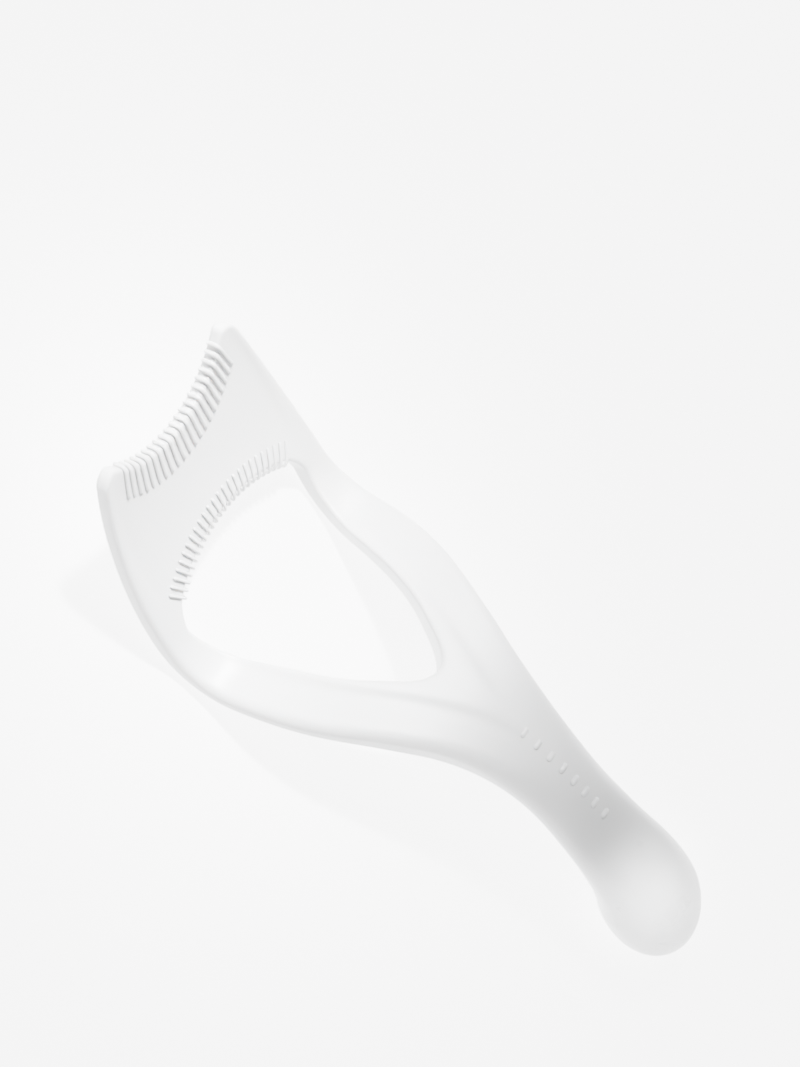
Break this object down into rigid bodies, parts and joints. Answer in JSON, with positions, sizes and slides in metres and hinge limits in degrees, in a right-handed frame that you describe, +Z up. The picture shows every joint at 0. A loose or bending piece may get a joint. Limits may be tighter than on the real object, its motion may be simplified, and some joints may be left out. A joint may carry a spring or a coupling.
{
  "type": "lash guard and comb",
  "caption": "Moulded lash guard: a curved shield with a fine comb along both edges, on a forked handle that ends in a rounded grip.",
  "frame": {"origin": "on the table under the middle of the whole tool", "axes": "+X from the shield to the grip bulb, +Y across the tool, +Z up out of the table"},
  "size_m": [0.1454, 0.0502, 0.0293],
  "materials": {
    "moulding": "satin white moulded polypropylene"
  },
  "bodies": {
    "root": {"curl_rib_01": "moulding", "curl_rib_02": "moulding", "curl_rib_03": "moulding", "curl_rib_04": "moulding", "curl_rib_05": "moulding", "curl_rib_06": "moulding", "curl_rib_07": "moulding", "curl_rib_08": "moulding", "curl_rib_09": "moulding", "curl_rib_10": "moulding", "curl_rib_11": "moulding", "curl_rib_12": "moulding", "curl_rib_13": "moulding", "curl_rib_14": "moulding", "curl_rib_15": "moulding", "curl_rib_16": "moulding", "curl_rib_17": "moulding", "curl_rib_18": "moulding", "curl_rib_19": "moulding", "curl_rib_20": "moulding", "curl_rib_21": "moulding", "curl_rib_22": "moulding", "curl_rib_23": "moulding", "curl_rib_24": "moulding", "curl_rib_25": "moulding", "curl_rib_26": "moulding", "fork_yoke": "moulding", "grip_bulb": "moulding", "handle_neck": "moulding", "lash_shield": "moulding", "left_arm": "moulding", "lid_rib_01": "moulding", "lid_rib_02": "moulding", "lid_rib_03": "moulding", "lid_rib_04": "moulding", "lid_rib_05": "moulding", "lid_rib_06": "moulding", "lid_rib_07": "moulding", "lid_rib_08": "moulding", "lid_rib_09": "moulding", "lid_rib_10": "moulding", "lid_rib_11": "moulding", "lid_rib_12": "moulding", "lid_rib_13": "moulding", "lid_rib_14": "moulding", "lid_rib_15": "moulding", "lid_rib_16": "moulding", "lid_rib_17": "moulding", "lid_rib_18": "moulding", "lid_rib_19": "moulding", "lid_rib_20": "moulding", "lid_rib_21": "moulding", "raised_dashes": "moulding", "right_arm": "moulding"}
  },
  "joints": []
}
